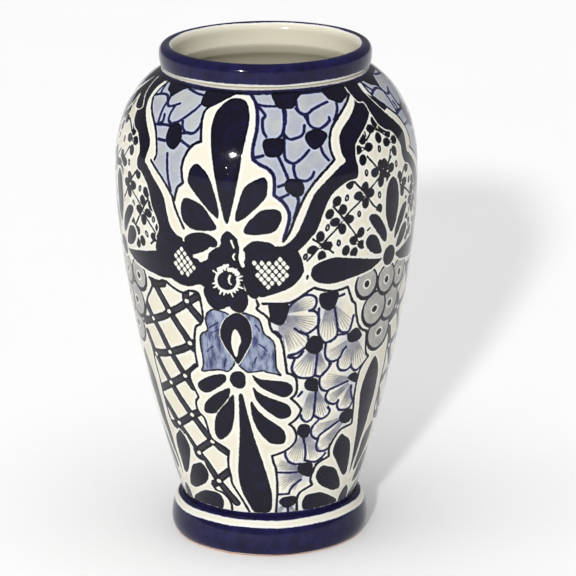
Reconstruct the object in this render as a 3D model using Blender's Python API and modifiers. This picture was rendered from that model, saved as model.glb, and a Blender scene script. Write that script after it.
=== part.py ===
"""A talavera pottery vase: a wide-shouldered jar on a bun foot, with a rolled lip.

The clay is thrown in four members that are luted together with slip before firing: the foot ring, the
lower body with the floor, the upper body with the shoulder, and the rolled rim. Each one is a turned
solid about +Z. The origin is the centre of the foot's underside. Units are metres.
"""

import math

import bpy

# Overall form
HEIGHT = 0.305
BELLY_RADIUS = 0.091
BELLY_HEIGHT = 0.222
WALL = 0.0065

# Lower body: the wall leaves the foot at the waist and swells to the belly
WAIST_RADIUS = 0.0535
BASE_TAPER = 0.0006
FLARE_POWER = 1.6
FLOOR = 0.008
FLOOR_FILLET = 0.010

# Upper body: the shoulder rolls in from the belly to the neck, which the rim sits on
NECK_RADIUS = 0.0590
NECK_BORE = 0.0545
SHOULDER_POWER = 2.83
SHOULDER_FULLNESS = 0.8

# Foot ring: a bun section whose shelf carries the lower body
FOOT_RADIUS = 0.0605
FOOT_HEIGHT = 0.0238
FOOT_BULGE_HEIGHT = 0.0085
FOOT_TREAD_OUTER = 0.0567
FOOT_TREAD_INNER = 0.0470
FOOT_RECESS_DEPTH = 0.009
FOOT_LEDGE = 0.008
FOOT_LIP = 0.0006
FOOT_CHAMFER = 0.0015

# Rolled rim
RIM_RADIUS = 0.0637
RIM_HEIGHT = 0.0135
RIM_SEAT_WIDTH = 0.0060
RIM_BULGE_SHARE = 0.60

# Luted joints: a tongue on the upper member fits a groove in the lower one
BELLY_JOINT_HEIGHT = 0.205
SLIP_GAP = 0.0003
TONGUE_HEIGHT = 0.0020
TONGUE_ROOT = 0.0026
TONGUE_TIP = 0.0012

# Facets
TURN_STEPS = 48
SHOULDER_EASE = 0.75
LOWER_POINTS = 12
UPPER_POINTS = 11
FILLET_POINTS = 4
ROLL_POINTS = 11
TUCK_POINTS = 5
FOOT_POINTS = 7
HEEL_POINTS = 5
EPSILON = 1e-5
SLOPE_STEP = 1e-4

# Heights and radii where the members meet
NECK_HEIGHT = HEIGHT - RIM_HEIGHT
RIM_BASE = NECK_HEIGHT + SLIP_GAP
BODY_BASE = FOOT_RECESS_DEPTH + SLIP_GAP
FLOOR_HEIGHT = BODY_BASE + FLOOR
BASE_RADIUS = WAIST_RADIUS - BASE_TAPER
NECK_JOINT_RADIUS = (NECK_BORE + NECK_RADIUS) / 2

COBALT = (0.022, 0.022, 0.11)
TIN_WHITE = (0.79, 0.75, 0.63)


def clear_scene():
    for obj in list(bpy.data.objects):
        bpy.data.objects.remove(obj)


def glaze(name, colour):
    """Glossy fired glaze."""
    material = bpy.data.materials.new(name)
    material.use_nodes = True
    shader = material.node_tree.nodes["Principled BSDF"]
    shader.inputs["Base Color"].default_value = (*colour, 1)
    shader.inputs["Roughness"].default_value = 0.18
    shader.inputs["Metallic"].default_value = 0.0
    return material


def turned(name, profile, material, collection, parent):
    """A closed (radius, height) profile, run down its outer side and up its inner side, turned about Z.

    A profile that starts and ends on the axis stays open there, and the Screw merges its ends.
    """
    mesh = bpy.data.meshes.new(name)
    edges = [(i, i + 1) for i in range(len(profile) - 1)]
    on_axis = profile[0][0] < EPSILON and profile[-1][0] < EPSILON
    if not on_axis:
        edges.append((len(profile) - 1, 0))
    mesh.from_pydata([(radius, 0, height) for radius, height in profile], edges, [])
    obj = bpy.data.objects.new(name, mesh)
    collection.objects.link(obj)
    obj.parent = parent
    mesh.materials.append(material)
    screw = obj.modifiers.new("turn", "SCREW")
    screw.axis = "Z"
    screw.angle = math.tau
    screw.steps = TURN_STEPS
    screw.render_steps = TURN_STEPS
    screw.use_merge_vertices = True
    screw.merge_threshold = EPSILON
    screw.use_smooth_shade = True
    return obj


def arc(centre, radii, start, end, count):
    """Points on an ellipse from start to end, in degrees, both ends included."""
    angles = [math.radians(start + (end - start) * i / (count - 1)) for i in range(count)]
    return [(centre[0] + radii[0] * math.cos(a), centre[1] + radii[1] * math.sin(a)) for a in angles]


def lower_radius(height):
    """Outer radius of the lower body, between the waist and the belly."""
    share = (BELLY_HEIGHT - height) / (BELLY_HEIGHT - FOOT_HEIGHT)
    return BELLY_RADIUS - (BELLY_RADIUS - WAIST_RADIUS) * max(share, 0) ** FLARE_POWER


def upper_radius(height):
    """Outer radius of the shoulder, between the belly and the neck."""
    share = (height - BELLY_HEIGHT) / (NECK_HEIGHT - BELLY_HEIGHT)
    full = max(1 - max(share, 0) ** SHOULDER_POWER, 0)
    return NECK_RADIUS + (BELLY_RADIUS - NECK_RADIUS) * full**SHOULDER_FULLNESS


def body_radius(height):
    return upper_radius(height) if height > BELLY_HEIGHT else lower_radius(height)


def slope_at(height):
    """How fast the outer radius grows with height."""
    low = max(height - SLOPE_STEP, FOOT_HEIGHT)
    high = min(height + SLOPE_STEP, NECK_HEIGHT)
    return (body_radius(high) - body_radius(low)) / (high - low)


def bowl_inner_radius(height):
    """Inner radius of the lower body's wall, whose thickness is measured square to its slope."""
    return body_radius(height) - WALL * math.hypot(1, slope_at(height))


def shoulder_inner_point(height):
    """The point a wall's thickness inside the shoulder's outer surface, square to it."""
    slope = slope_at(height)
    length = math.hypot(1, slope)
    return (body_radius(height) - WALL / length, height + WALL * slope / length)


def spaced(start, end, count, ease=1.0):
    """Heights from start to end; an ease under 1 crowds them towards the end."""
    return [start + (end - start) * (i / (count - 1)) ** ease for i in range(count)]


def joint_line(centre, face, clearance, outward, rise):
    """Outline of a tongue, or of its groove with the clearance added, across a level joint face.

    outward is 1 where the profile runs from the vase's inside to its outside and -1 the other way.
    rise is the height of the tongue's tip above the face, negative where it points down.
    """
    root = TONGUE_ROOT / 2 + clearance
    tip = TONGUE_TIP / 2 + clearance
    offsets = [(-root, face), (-tip, face + rise), (tip, face + rise), (root, face)]
    return [(centre + outward * offset, height) for offset, height in offsets]


BELLY_JOINT_RADIUS = body_radius(BELLY_JOINT_HEIGHT) - WALL / 2


def foot_ring(collection, parent):
    """Bun-shaped ring: a flat tread, a bulging outside and a ledge inside that carries the lower body."""
    seat_top = WAIST_RADIUS + SLIP_GAP
    seat_bottom = BASE_RADIUS + SLIP_GAP
    crown = seat_top + FOOT_LIP
    shoulder = arc(
        (crown, FOOT_BULGE_HEIGHT),
        (FOOT_RADIUS - crown, FOOT_HEIGHT - FOOT_BULGE_HEIGHT),
        90, 0, FOOT_POINTS,
    )
    heel = arc(
        (FOOT_TREAD_OUTER, FOOT_BULGE_HEIGHT),
        (FOOT_RADIUS - FOOT_TREAD_OUTER, FOOT_BULGE_HEIGHT),
        0, -90, HEEL_POINTS,
    )
    underside = [
        (FOOT_TREAD_INNER, 0),
        (FOOT_TREAD_INNER - FOOT_CHAMFER, FOOT_CHAMFER),
        (seat_bottom - FOOT_LEDGE, FOOT_RECESS_DEPTH),
    ]
    seat = [(seat_bottom, FOOT_RECESS_DEPTH), (seat_top, FOOT_HEIGHT)]
    profile = shoulder + heel[1:] + underside + seat
    return turned("foot_ring", profile, glaze("foot_cobalt", COBALT), collection, parent)


def lower_body(collection, parent):
    """Thrown bowl with the floor, bedded in the foot ring. Its rim carries the belly joint's groove."""
    joint = BELLY_JOINT_HEIGHT
    fillet_height = FLOOR_HEIGHT + FLOOR_FILLET
    floor_radius = bowl_inner_radius(fillet_height) - FLOOR_FILLET
    fillet = arc(
        (floor_radius, fillet_height), (FLOOR_FILLET, FLOOR_FILLET), -90, 0, FILLET_POINTS
    )
    wall = spaced(fillet_height, joint, LOWER_POINTS)[1:]
    inner = [(0, FLOOR_HEIGHT)] + fillet + [(bowl_inner_radius(z), z) for z in wall]
    groove = joint_line(BELLY_JOINT_RADIUS, joint, SLIP_GAP, 1, -TONGUE_HEIGHT)
    outer = [(body_radius(z), z) for z in spaced(joint, FOOT_HEIGHT, LOWER_POINTS)]
    base = [(BASE_RADIUS, BODY_BASE), (0, BODY_BASE)]
    profile = inner + groove + outer + base
    return turned("lower_body", profile, glaze("lower_tin_glaze", TIN_WHITE), collection, parent)


def upper_body(collection, parent):
    """Thrown shoulder. One tongue points down into the belly joint and one up into the rim."""
    joint = BELLY_JOINT_HEIGHT + SLIP_GAP
    wall = spaced(joint, NECK_HEIGHT, UPPER_POINTS, SHOULDER_EASE)
    outer = [(body_radius(z), z) for z in reversed(wall)]
    lower_tongue = joint_line(BELLY_JOINT_RADIUS, joint, 0, -1, -TONGUE_HEIGHT)
    inner = [(body_radius(joint) - WALL, joint)]
    for height in wall[1:]:
        radius, level = shoulder_inner_point(height)
        if radius > NECK_BORE + WALL / 4 and level > joint + EPSILON:
            inner.append((radius, level))
    bore = [(NECK_BORE, inner[-1][1] + WALL / 2), (NECK_BORE, NECK_HEIGHT)]
    upper_tongue = joint_line(NECK_JOINT_RADIUS, NECK_HEIGHT, 0, 1, TONGUE_HEIGHT)
    profile = outer + lower_tongue + inner + bore + upper_tongue
    return turned("upper_body", profile, glaze("upper_tin_glaze", TIN_WHITE), collection, parent)


def rim_roll(collection, parent):
    """Rolled lip: a fat oval coil whose flat seat is grooved for the neck's tongue."""
    half_width = (RIM_RADIUS - NECK_BORE) / 2
    middle = NECK_BORE + half_width
    bulge = RIM_BASE + (HEIGHT - RIM_BASE) * RIM_BULGE_SHARE
    seat_edge = middle + RIM_SEAT_WIDTH / 2
    crown = arc((middle, bulge), (half_width, HEIGHT - bulge), 180, 0, ROLL_POINTS)
    tuck = arc(
        (seat_edge, bulge), (RIM_RADIUS - seat_edge, bulge - RIM_BASE), 0, -90, TUCK_POINTS
    )
    groove = joint_line(NECK_JOINT_RADIUS, RIM_BASE, SLIP_GAP, -1, TONGUE_HEIGHT)
    profile = crown + tuck[1:] + groove + [(NECK_BORE, RIM_BASE)]
    return turned("rim_roll", profile, glaze("rim_cobalt", COBALT), collection, parent)


def main():
    clear_scene()
    collection = bpy.data.collections.new("talavera_vase")
    bpy.context.scene.collection.children.link(collection)
    vase = bpy.data.objects.new("vase_axis", None)
    collection.objects.link(vase)
    for build in (foot_ring, lower_body, upper_body, rim_roll):
        build(collection, vase)


main()
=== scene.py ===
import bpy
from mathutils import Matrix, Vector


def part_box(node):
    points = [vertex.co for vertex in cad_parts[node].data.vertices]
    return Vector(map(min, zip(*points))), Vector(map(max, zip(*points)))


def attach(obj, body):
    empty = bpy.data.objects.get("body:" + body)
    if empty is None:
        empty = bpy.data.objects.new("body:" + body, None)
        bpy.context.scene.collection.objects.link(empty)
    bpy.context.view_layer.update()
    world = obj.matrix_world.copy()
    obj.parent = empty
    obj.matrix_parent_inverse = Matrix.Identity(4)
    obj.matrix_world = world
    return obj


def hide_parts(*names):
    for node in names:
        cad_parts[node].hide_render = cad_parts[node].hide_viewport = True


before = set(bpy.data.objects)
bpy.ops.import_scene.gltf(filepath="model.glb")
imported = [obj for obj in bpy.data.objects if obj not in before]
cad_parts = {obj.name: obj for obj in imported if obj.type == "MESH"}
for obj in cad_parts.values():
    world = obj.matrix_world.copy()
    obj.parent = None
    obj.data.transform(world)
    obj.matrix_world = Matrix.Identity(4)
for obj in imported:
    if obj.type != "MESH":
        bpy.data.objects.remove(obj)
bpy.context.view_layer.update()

# A talavera vase: the glazed, hand-painted skin of the turned clay solids, and the studio around it.
#
# The pattern is painted in two coordinates: the angle round the vase in degrees, 0 at the front and
# growing to the viewer's right, and the distance up the wall from the foot in millimetres. Each pigment
# is a signed distance in millimetres, negative inside the paint, held on the dense mesh of the skin.

import math

import bpy
import numpy as np
from mathutils import Matrix, Vector

MM = 0.001

# ------------------------------------------------------------------ the form, as the clay solids have it
FOOT_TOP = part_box("foot_ring")[1].z / MM
SLIP = 0.3  # the gap between two clay solids
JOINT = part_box("lower_body")[1].z / MM + SLIP / 2
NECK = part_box("rim_roll")[0].z / MM - SLIP
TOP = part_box("rim_roll")[1].z / MM
BELLY_RADIUS, BELLY_HEIGHT, FLARE = 91.0, 222.0, 1.6
WAIST_RADIUS, NECK_RADIUS = 53.5, 59.0
SHOULDER_POWER, SHOULDER_FULLNESS = 2.83, 0.8
BORE, WALL, FLOOR_TOP, BASE = 54.5, 6.5, 17.3, 9.3
BASE_TAPER, FLOOR_FILLET, THROAT_RISE = 0.6, 10.0, 5.5
RIM_RADIUS, RIM_SEAT_WIDTH, RIM_BULGE_SHARE = 63.7, 6.0, 0.6
FOOT_RADIUS, FOOT_BULGE, FOOT_LIP = 60.5, 8.5, 0.6
TREAD_OUTER, TREAD_INNER, TREAD_CHAMFER, RECESS = 56.7, 47.0, 1.5, 9.0
FOOT_BANDS = 22.7, 18.7, 1.2  # heights where the foot's white band starts and ends, and its glaze ends
PAINT_ZERO = 24.8  # height where the distance up the wall is 0
LIP_PAINT_ANGLE = 118  # where the blue ends on the lip's section, 90 being its crest

COLUMNS = 1200  # of the mesh, round the vase
ROW_STEP = 0.5  # mm between the mesh rows of the painted wall
CANVAS_ROWS_PER_MM = 2.8
CANVAS_COLUMNS = 1600
PAINT_DEPTH = 0.05  # mm that dark paint sinks into the glaze
SKIN_DEPTH = 0.3  # mm that the painted rows lie inside the clay
FAR = 9.0  # mm, the distance that stands for no paint near
MARGIN = 3.0  # mm round a shape within which its distance is kept
MAP_GAP = 0.005  # left free round each strip of the map
DEG_TO_MM = 1.5  # near the belly, for shapes laid out before they are placed
STREAK_STRETCH = 1.3  # the same lower down, for the fans' hairs


def body_radius(z):
    """Outer radius of the body at a height, as part.py has it."""
    z = np.asarray(z, float)
    low = np.clip((BELLY_HEIGHT - z) / (BELLY_HEIGHT - FOOT_TOP), 0, 1)
    high = np.clip((z - BELLY_HEIGHT) / (NECK - BELLY_HEIGHT), 0, 1)
    lower = BELLY_RADIUS - (BELLY_RADIUS - WAIST_RADIUS) * low**FLARE
    upper = NECK_RADIUS + (BELLY_RADIUS - NECK_RADIUS) * (1 - high**SHOULDER_POWER) ** SHOULDER_FULLNESS
    return np.where(z > BELLY_HEIGHT, upper, lower)


HEIGHTS = np.concatenate([np.linspace(FOOT_TOP, NECK - 4, 3000), np.linspace(NECK - 4, NECK, 600)[1:]])
RADII = body_radius(HEIGHTS)
ARC = np.concatenate([[0], np.cumsum(np.hypot(np.diff(HEIGHTS), np.diff(RADII)))])  # distance up the wall
ARC -= np.interp(PAINT_ZERO, HEIGHTS, ARC)
ARC_LOW, ARC_TOP = ARC[0], ARC[-1]

# ------------------------------------------------------------------ the canvas
# ink, navy and cobalt are dark paint; wash and mist fill fields; streak and tint model the fans;
# smoke fills the lattice's straps and shade the scales
LAYERS = ("ink", "navy", "cobalt", "wash", "mist", "streak", "smoke", "shade", "tint")
ROWS = int((ARC_TOP - ARC_LOW) * CANVAS_ROWS_PER_MM) + 2
CANVAS_S = ARC_LOW + np.arange(ROWS) / CANVAS_ROWS_PER_MM
MM_PER_DEG = np.interp(CANVAS_S, ARC, RADII) * math.pi / 180
DEG_PER_COLUMN = 360 / CANVAS_COLUMNS
canvas = {name: np.full((ROWS, CANVAS_COLUMNS), FAR, np.float32) for name in LAYERS}


def window(points, reach):
    """The canvas cells within reach, in mm, of the points: their indices and their coordinates."""
    points = np.asarray(points, float)
    low, high = points[:, 1].min() - reach, points[:, 1].max() + reach
    r0 = int(np.clip((low - ARC_LOW) * CANVAS_ROWS_PER_MM, 0, ROWS - 1))
    r1 = int(np.clip((high - ARC_LOW) * CANVAS_ROWS_PER_MM + 1, 1, ROWS))
    wide = reach / MM_PER_DEG[r0:r1].min()
    c0 = int(math.floor((points[:, 0].min() - wide) / DEG_PER_COLUMN))
    c1 = int(math.ceil((points[:, 0].max() + wide) / DEG_PER_COLUMN)) + 1
    columns = np.arange(c0, c1)
    rows = np.arange(r0, max(r1, r0 + 1))
    cells = np.ix_(rows, columns % CANVAS_COLUMNS)
    theta = (columns * DEG_PER_COLUMN)[None, :]
    return cells, theta, CANVAS_S[rows][:, None], MM_PER_DEG[rows][:, None]


def smooth(points, closed=False, steps=5):
    """A Catmull-Rom curve through the points."""
    points = np.asarray(points, float)
    if len(points) < 3:
        return points
    spans = len(points) if closed else len(points) - 1
    padded = np.pad(points, ((1, 2), (0, 0)), "wrap" if closed else "edge")
    a, b, c, d = (padded[k:k + spans, None] for k in range(4))
    t = (np.arange(steps) / steps)[None, :, None]
    curve = 2 * b + (c - a) * t + (2 * a - 5 * b + 4 * c - d) * t**2 + (3 * b - a - 3 * c + d) * t**3
    curve = 0.5 * curve.reshape(-1, 2)
    return curve if closed else np.vstack([curve, points[-1:]])


def line_distance(line, radii, theta, s, scale, closed=False):
    """Distance to a line with the half widths in radii, or to its middle if that is None."""
    best = None
    count = len(line)
    for i in range(count if closed else count - 1):
        a, b = line[i], line[(i + 1) % count]
        px, py = (theta - a[0]) * scale, s - a[1]
        dx, dy = (b[0] - a[0]) * scale, b[1] - a[1]
        t = np.clip((px * dx + py * dy) / np.maximum(dx * dx + dy * dy, 1e-9), 0, 1)
        d = np.hypot(px - t * dx, py - t * dy)
        if radii is not None:
            d = d - (radii[i] + (radii[(i + 1) % count] - radii[i]) * t)
        best = d if best is None else np.minimum(best, d)
    return best


def shape_distance(outline, theta, s, scale):
    """Distance to a closed outline, negative inside it."""
    d = line_distance(outline, None, theta, s, scale, closed=True)
    inside = np.zeros(d.shape, bool)
    for i in range(len(outline)):
        a, b = outline[i], outline[(i + 1) % len(outline)]
        if a[1] == b[1]:
            continue
        crosses = (a[1] > s) != (b[1] > s)
        at = a[0] + (s - a[1]) * (b[0] - a[0]) / (b[1] - a[1])
        inside ^= crosses & (theta < at)
    return np.where(inside, -d, d)


def lay(layer, cells, d):
    canvas[layer][cells] = np.minimum(canvas[layer][cells], d)


def clear(cells, d):
    for layer in LAYERS:
        canvas[layer][cells] = np.maximum(canvas[layer][cells], -d)


def apply(layer, cells, d, reserve=0.0):
    """Lays a shape over what is there, with reserve mm of bare ground round it. Layer None only scrapes."""
    if reserve or layer is None:
        clear(cells, d - reserve)
    if layer is not None:
        lay(layer, cells, d)


class Place:
    """Carries the front's coordinates to another turn of the pattern.

    home, at the front, goes to axis. low and high stretch the girth below and above the belly, flip mirrors
    it, and lean swings the foot end round by that many degrees.
    """

    def __init__(self, axis=0.0, home=0.0, low=1.0, high=1.0, flip=False, lean=0.0):
        self.axis, self.home, self.low, self.high, self.lean = axis, home, low, high, lean
        self.flip = -1 if flip else 1

    def __call__(self, points):
        points = np.asarray(points, float).reshape(-1, 2)
        rise = np.clip((points[:, 1] - 180) / 60, 0, 1)
        gain = self.low + (self.high - self.low) * rise * rise * (3 - 2 * rise)
        theta = self.axis + self.flip * (points[:, 0] - self.home) * gain
        theta = theta + self.lean * np.clip((95 - points[:, 1]) / 70, 0, 1)
        return np.stack([theta, points[:, 1]], 1)


def stroke(place, layer, points, width=1.3, ends=None):
    """A liner stroke along the points.

    width is one number, or a pair for the first point and the last. ends are the widths that its two tips
    taper to.
    """
    line = smooth(place(points))
    half = np.linspace(*np.broadcast_to(width, 2), len(line)) / 2
    if ends is not None:
        t = np.linspace(0, 1, len(line))
        taper = np.minimum(np.minimum(t / 0.25, (1 - t) / 0.25), 1)
        tip = np.where(t < 0.5, ends[0], ends[1]) / 2
        half = tip + (half - tip) * np.sin(taper * math.pi / 2)
    cells, theta, s, scale = window(line, half.max() + MARGIN)
    apply(layer, cells, line_distance(line, half, theta, s, scale))


def fill(place, layer, outline, reserve=0.0, edge=0.0, rounded=True):
    """A filled outline. edge is the width of an ink line round it."""
    outline = place(outline)
    if rounded:
        outline = smooth(outline, closed=True)
    cells, theta, s, scale = window(outline, MARGIN + edge)
    d = shape_distance(outline, theta, s, scale)
    apply(layer, cells, d, reserve)
    if edge:
        lay("ink", cells, np.abs(d) - edge / 2)


def dot(place, layer, centre, size, reserve=0.0, tilt=0.0, power=2.0):
    """A dab; size is its half width and half height in mm. power 2 is an oval and 1 a diamond."""
    centre = place([centre])[0]
    cells, theta, s, scale = window([centre], max(size) + MARGIN + reserve)
    x, y = (theta - centre[0]) * scale, s - centre[1]
    c, w = math.cos(math.radians(tilt)), math.sin(math.radians(tilt))
    x, y = (x * c + y * w) / size[0], (y * c - x * w) / size[1]
    length = (np.abs(x)**power + np.abs(y)**power) ** (1 / power)
    apply(layer, cells, (length - 1) * min(size) * np.where(length > 1, 1.2, 1), reserve)


def petal(place, outline, reserve=1.3):
    """A dark shape with a margin of bare ground."""
    fill(place, "navy", outline, reserve=reserve)


def streaks(place, centre, tip, spread, count=7, width=0.75):
    """Fine brush hairs from a flower's centre towards a petal's tip, and the tint under them."""
    centre, reach = np.array(centre, float), np.subtract(tip, centre) * (STREAK_STRETCH, 1)
    for i in range(count):
        side = (i / (count - 1) - 0.5) * 2
        a = math.radians(side * spread * 1.1)
        cos, sin = math.cos(a), math.sin(a)
        turned = reach[0] * cos - reach[1] * sin, reach[0] * sin + reach[1] * cos
        way = np.divide(turned, (STREAK_STRETCH, 1))
        begin = 0.20 + 0.05 * (i * 5 % 3)
        end = 1.04 - 0.10 * abs(side) - 0.04 * (i * 7 % 3)
        stroke(
            place, "streak", [centre + way * begin, centre + way * end],
            width * (1.15 - 0.3 * (i * 3 % 2)), ends=(width * 1.5, 0.4),
        )
    dot(place, "tint", centre + np.subtract(tip, centre) * 0.22, (5.5, 5.5))


# ------------------------------------------------------------------ motif A: the tall palmette
AXIS_A = -13.5

CLUB_UP = [
    (-15, 196), (-17, 205), (-21.8, 243), (-22.7, 255), (-21.5, 264), (-18, 271), (-13.5, 272.5),
    (-9.2, 270), (-7.2, 263), (-7, 255), (-9.3, 236), (-10.5, 223), (-13.3, 203),
]
UPPER_PETALS = [
    [(-18.2, 199), (-18.3, 207), (-21.3, 222), (-24.5, 228), (-27, 230), (-29.2, 227), (-30.3, 221),
     (-29.3, 216), (-22, 203.5), (-19.5, 200)],
    [(-19, 193), (-21, 199), (-24.5, 206), (-29, 209), (-32, 209), (-33.5, 204), (-33.3, 197),
     (-31.3, 193), (-28, 191), (-23, 191)],
    [(-11.7, 199), (-11, 206), (-8, 219), (-2, 224.5), (0.3, 223), (0.5, 217), (-0.7, 211.5), (-7.5, 201),
     (-10.5, 198)],
    [(-8.6, 192), (-7.3, 197), (-5, 201), (-2, 205), (1.5, 206), (4.8, 205), (5.7, 201), (4.8, 196),
     (2, 191.5), (-6, 190)],
]
CLUB_DOWN = [
    (-12.2, 87), (-13.4, 85), (-13.5, 78), (-14.3, 57), (-17, 35), (-17.7, 27), (-17, 19), (-15, 12),
    (-9, 0), (-6, -3), (-3, -1), (1, 4), (1.8, 11), (1.5, 18), (0, 25), (-6.5, 55), (-10, 77), (-11.2, 85),
]
LOWER_PETALS = [
    [(-19.3, 99), (-25, 98), (-30, 94.5), (-33, 91), (-33, 87), (-30, 85), (-26, 87), (-19.3, 94)],
    [(-17.3, 90), (-21.5, 88), (-26, 84), (-30, 79), (-31.8, 74), (-31, 70.7), (-24.5, 72.5), (-18.3, 83)],
    [(-15.8, 86), (-19.5, 80), (-23.5, 74), (-26.3, 68), (-27.5, 60), (-27, 55), (-25, 53), (-22, 55),
     (-18.5, 60), (-16.6, 67), (-15.6, 76)],
    [(-7, 100), (-3.5, 97.5), (6, 96), (9.5, 94), (10.8, 90), (9.5, 86.3), (6, 85), (-2, 90.5), (-5.5, 95)],
    [(-6.8, 91.5), (-4, 88), (0, 85), (4.5, 82.5), (8.5, 80), (10.3, 76), (10, 72), (7, 70), (3, 71.5),
     (-4.5, 81)],
    [(-7.7, 82), (-5, 76.5), (-1, 71), (6.5, 63), (8.3, 57.5), (7.7, 53), (5, 52), (1, 53), (-3, 58),
     (-6, 65), (-7.7, 73)],
]
# The cream ground of the upper palmette ends in these scalloped lines.
SCALLOP_UP = [
    [(-12, 277), (-16.5, 275), (-23, 268), (-26.7, 264), (-27.8, 258), (-26, 243)],
    [(-26, 243), (-29.5, 240), (-32.3, 233), (-33.2, 226), (-32.3, 218)],
    [(-32.3, 218), (-35, 214), (-36.3, 207)], [(-37.2, 209), (-36, 202), (-32.7, 191)],
]
SCALLOP_UP_RIGHT = [
    [(-8.5, 277), (-6.3, 273), (-4.3, 267), (-3.6, 258), (-4, 250), (-5.2, 241), (-5, 235)],
    [(-5, 235), (-2.5, 232), (1, 229), (3, 224), (2.9, 214)],
]
# The band of bare ground round the wings and the lower palmette ends in these.
SCALLOP_DOWN = [
    [(-32, 152), (-28.6, 152), (-27.3, 149), (-26.6, 138), (-27, 134), (-28, 131)],
    [(-28, 131), (-30.5, 128), (-32, 115), (-31.8, 103)],
    [(-31.8, 103), (-36.4, 97), (-36.3, 90), (-34, 81)], [(-34, 81), (-36, 77), (-36, 72), (-34.7, 69)],
    [(-34.7, 69), (-32.5, 66), (-31, 56), (-29.5, 52), (-23.5, 48), (-21, 46)],
    [(-21, 46), (-22.5, 36), (-22.2, 27), (-22.2, 23), (-20.5, 18), (-11, -2)],
]
SCALLOP_DOWN_RIGHT = [
    [(-4.6, 149), (-4, 146), (-4.6, 143.5), (-0.5, 138), (0.5, 132), (1.5, 129)],
    [(1.5, 129), (5.4, 122), (8, 101)], [(8, 101), (10, 100), (12, 97), (12.3, 88), (10, 84)],
    [(10, 84), (14.6, 77), (14.3, 73), (12.5, 69), (9.8, 66)],
    [(9.8, 66), (12, 63), (13.6, 58), (13, 53), (10.5, 49), (6.5, 46), (1.5, 44)],
    [(1.5, 44), (2.5, 39), (4, 33), (5, 17), (3.6, -2)],
]


BASKETS = [  # an outline, and where the grid of diamonds in it starts
    ([(-34.4, 180), (-32, 175.5), (-28.4, 172), (-28.6, 165), (-30, 160.5), (-35.5, 160.5), (-39.6, 167),
      (-38, 173)], (-34.2, 177.8)),
    ([(-6.3, 177), (-3, 173.2), (0.8, 173.8), (3.2, 176.4), (6.2, 175.4), (8.6, 169.5), (8.4, 163),
      (4.6, 158.2), (-0.8, 156.2), (-4, 160.4), (-5.6, 165.6), (-5, 171)], (-0.9, 169.9)),
]
DIAMOND_PITCH, DIAMOND_RISE = 2.7, 2.5


def basket(place, outline, start):
    """White diamonds left between the basket's crossed lines."""
    for row in range(-8, 9):
        for column in range(-5, 6):
            t = start[0] + (column + row % 2 / 2) * DIAMOND_PITCH + 0.1 * row
            s = start[1] + row * DIAMOND_RISE - 0.12 * column
            if shape_distance(outline, np.array(t), np.array(s), DEG_TO_MM) < -0.6:
                dot(place, None, (t, s), (1.4, 1.7), power=1.3)


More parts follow.
